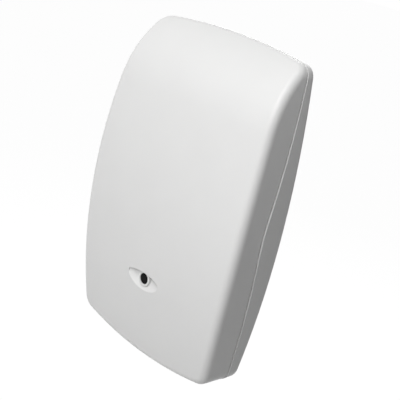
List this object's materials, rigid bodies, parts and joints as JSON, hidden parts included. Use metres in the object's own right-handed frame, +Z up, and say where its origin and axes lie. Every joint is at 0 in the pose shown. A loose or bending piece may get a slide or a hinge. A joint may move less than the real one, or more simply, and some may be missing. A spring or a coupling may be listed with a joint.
{
  "type": "glass break sensor",
  "caption": "Wall-mounted acoustic glass break sensor: flat white two-part housing with a pointed-oval microphone recess, a hinged cover and a circuit board inside.",
  "frame": {"origin": "middle of the flat rear face, which goes against the wall", "axes": "+Z up along the housing, -Y out of the wall through the front face, +X to the right seen from the front"},
  "size_m": [0.0506, 0.0156, 0.0784],
  "materials": {
    "white_plastic": "fine spark texture, white",
    "board_green": "green solder mask, satin",
    "black_plastic": "moulded, satin black",
    "green_plastic": "moulded, satin green",
    "cream_plastic": "moulded, satin ivory",
    "steel": "nickel plated",
    "can_metal": "drawn can",
    "gold_metal": "gold flashed pins",
    "tinned": "tin plated",
    "black_rubber": "matt black rubber",
    "black_mesh": "fine woven acoustic mesh",
    "blue_plastic": "moulded, satin blue",
    "red_lens": "clear tinted lens"
  },
  "bodies": {
    "housing": {"rear_base": "white_plastic", "circuit_board": "board_green", "board_screws": "steel", "microphone_boot": "black_rubber", "microphone_capsule": "can_metal", "microphone_leads": "tinned", "terminal_block": "green_plastic", "terminal_clamps": "tinned", "terminal_screws": "steel", "tamper_switch_body": "black_plastic", "trimmer_body": "blue_plastic", "jumper_header": "black_plastic", "jumper_pins": "gold_metal", "jumper_shunts": "black_plastic", "alarm_relay": "cream_plastic", "electrolytic_capacitors": "can_metal", "processor_chip": "black_plastic", "amplifier_chip": "black_plastic", "chip_leads": "tinned", "voltage_regulator": "black_plastic", "surge_diode": "black_plastic", "timing_crystal": "can_metal", "status_indicator": "red_lens", "small_chips": "cream_plastic"},
    "cover": {"front_cover": "white_plastic", "microphone_grille": "black_mesh"},
    "tamper_button": {"tamper_plunger": "cream_plastic"},
    "trimmer_wheel": {"trimmer_rotor": "cream_plastic"}
  },
  "joints": [
    {"name": "cover_hinge", "type": "hinge", "parent": "housing", "child": "cover", "pos_m": [0, -0.00248, 0.039], "axis": [-1, 0, 0], "range_deg": [0, 60]},
    {"name": "tamper_press", "type": "slide", "parent": "housing", "child": "tamper_button", "axis": [0, -1, 0], "range_m": [0, 0.0009]},
    {"name": "sensitivity_trim", "type": "hinge", "parent": "housing", "child": "trimmer_wheel", "pos_m": [0.0134, -0.008, -0.0105], "axis": [0, -1, 0], "range_deg": [-105, 105]}
  ],
  "couplings": [
    {"joint": "tamper_press", "follows": "cover_hinge", "m_per_rad": 0.00085}
  ]
}
